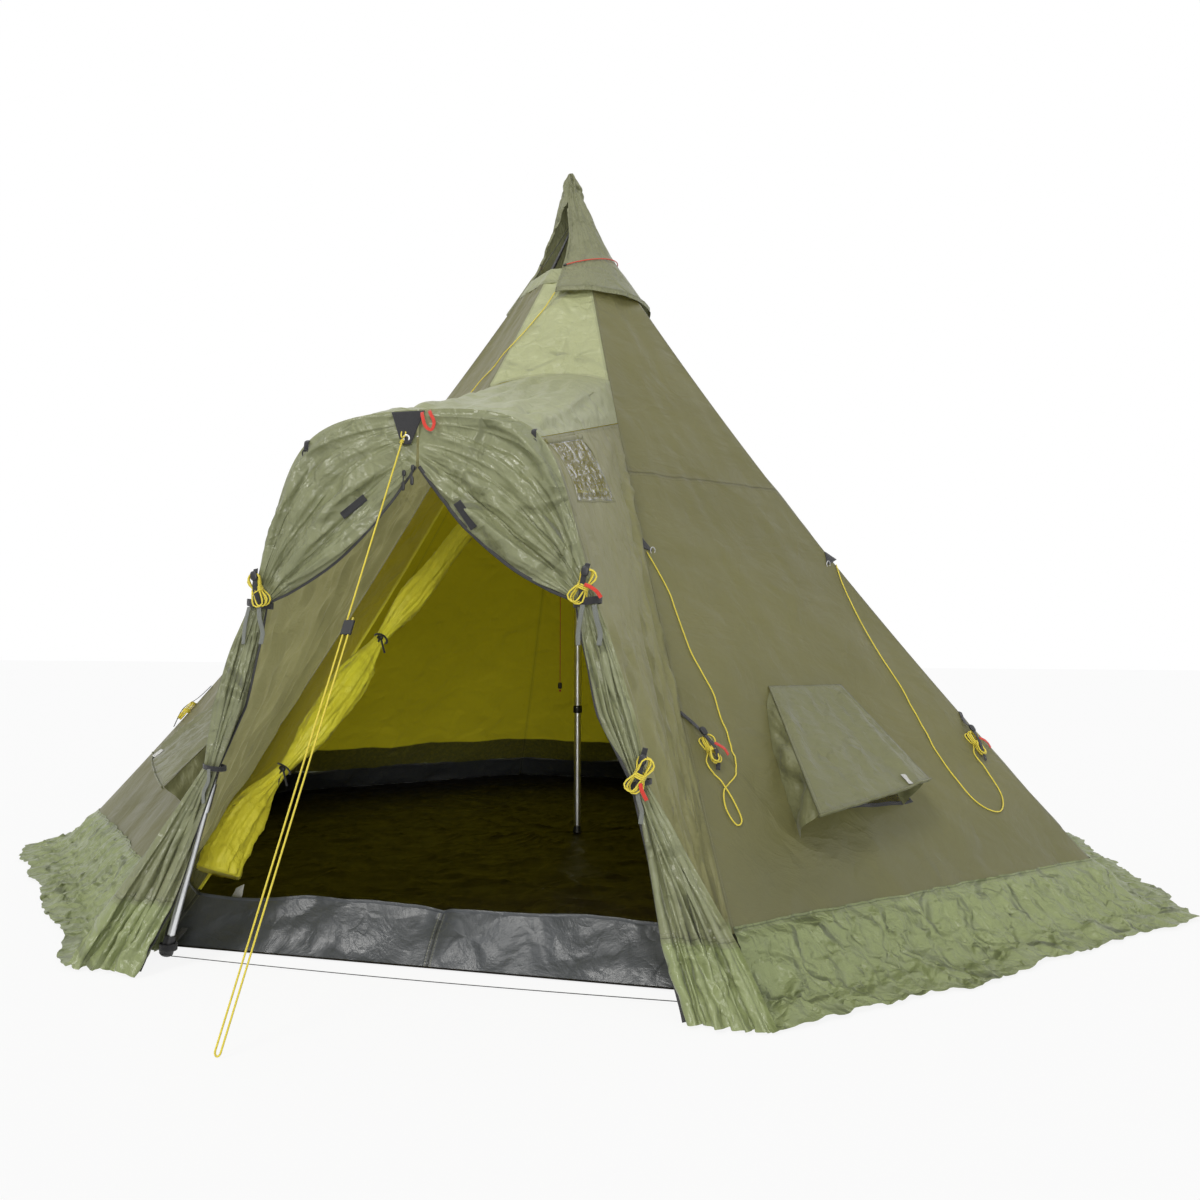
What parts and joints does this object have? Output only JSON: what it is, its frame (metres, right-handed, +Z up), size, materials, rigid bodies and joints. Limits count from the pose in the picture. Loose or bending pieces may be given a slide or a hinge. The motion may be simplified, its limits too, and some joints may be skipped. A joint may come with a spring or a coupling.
{
  "type": "tent",
  "caption": "Octagonal pole tent with an arched porch, tied-back door flaps, inner tent, hooded vents, snow skirt and turning cap.",
  "frame": {"origin": "on the ground at the foot of the centre pole, in the middle of the tent's plan", "axes": "+Z up, door and porch towards -Y, +X to the right as seen from in front of the door"},
  "size_m": [3.9514, 4.2937, 2.8],
  "materials": {
    "olive_cloth": "woven nylon, slightly shiny",
    "light_cloth": "woven nylon, slightly shiny",
    "skirt_cloth": "coated nylon, crumpled and shiny",
    "inner_cloth": "light breathable nylon",
    "floor_cloth": "coated, glossy",
    "tub_cloth": "coated, glossy",
    "net": "insect net",
    "window_film": "clear crinkled film",
    "pole_metal": "drawn tube",
    "black_plastic": "moulded",
    "webbing": "woven webbing",
    "yellow_cord": "braided cord",
    "red_cord": "braided cord",
    "black_cord": "thin braided cord"
  },
  "bodies": {
    "shelter": {"wall_front_right": "olive_cloth", "wall_right": "olive_cloth", "wall_back_right": "olive_cloth", "wall_back": "olive_cloth", "wall_back_left": "olive_cloth", "wall_left": "olive_cloth", "wall_front_left": "olive_cloth", "vent_gusset_right_front": "olive_cloth", "vent_gusset_right_back": "olive_cloth", "vent_gusset_left_front": "olive_cloth", "vent_gusset_left_back": "olive_cloth", "front_panel": "light_cloth", "crown_collar": "light_cloth", "porch_roof": "light_cloth", "porch_side_right": "light_cloth", "porch_side_left": "light_cloth", "door_flap_right": "light_cloth", "door_flap_left": "light_cloth", "skirt_right": "skirt_cloth", "skirt_left": "skirt_cloth", "inner_front": "inner_cloth", "inner_front_right": "inner_cloth", "inner_right": "inner_cloth", "inner_back_right": "inner_cloth", "inner_back": "inner_cloth", "inner_back_left": "inner_cloth", "inner_left": "inner_cloth", "inner_front_left": "inner_cloth", "inner_door_roll": "inner_cloth", "groundsheet": "floor_cloth", "tub_wall": "tub_cloth", "vent_net_right": "net", "vent_net_left": "net", "window_pane": "window_film", "centre_pole_upper": "pole_metal", "arch_pole_top": "pole_metal", "arch_pole_right": "pole_metal", "arch_pole_left": "pole_metal", "arch_foot_right": "black_plastic", "arch_foot_left": "black_plastic", "peak_straps": "webbing", "guy_patch": "webbing", "front_right_bridle": "yellow_cord", "right_bridle": "yellow_cord", "cap_line": "yellow_cord", "front_guy_line": "yellow_cord", "hank_left": "yellow_cord", "hank_right_leg": "yellow_cord", "hank_left_leg": "yellow_cord", "hank_right_flap": "yellow_cord", "hanging_cord": "red_cord", "foot_cord": "black_cord"},
    "pole_lower_section": {"centre_pole_lower": "pole_metal", "centre_pole_foot": "black_plastic"},
    "cap": {"storm_cap": "light_cloth", "cap_elastic": "red_cord"},
    "right_hood": {"vent_hood_right": "olive_cloth"},
    "left_hood": {"vent_hood_left": "olive_cloth"},
    "lock": {"cord_lock": "black_plastic"},
    "slider": {"guy_slider": "black_plastic"}
  },
  "joints": [
    {"name": "pole_telescope", "type": "slide", "parent": "shelter", "child": "pole_lower_section", "axis": [0, 0, 1], "range_m": [0, 0.25]},
    {"name": "cap_turn", "type": "hinge", "parent": "shelter", "child": "cap", "pos_m": [0, 0, 2.4], "axis": [0, 0, 1], "range_deg": [-60, 60], "deforming": ["cap_line"]},
    {"name": "right_hood_lift", "type": "hinge", "parent": "shelter", "child": "right_hood", "pos_m": [0.89646, -0.96717, 0.65609], "axis": [0.7071, 0.7071, 0], "range_deg": [0, 11], "deforming": ["vent_gusset_right_front", "vent_gusset_right_back"]},
    {"name": "left_hood_lift", "type": "hinge", "parent": "shelter", "child": "left_hood", "pos_m": [-0.89646, -0.96717, 0.65609], "axis": [0.7071, -0.7071, 0], "range_deg": [0, 11], "deforming": ["vent_gusset_left_front", "vent_gusset_left_back"]},
    {"name": "lock_slide", "type": "slide", "parent": "shelter", "child": "lock", "axis": [0, 0, 1], "range_m": [0, 0.2]},
    {"name": "slider_slide", "type": "slide", "parent": "shelter", "child": "slider", "axis": [-0.1285, -0.342, -0.9309], "range_m": [0, 0.25]}
  ]
}
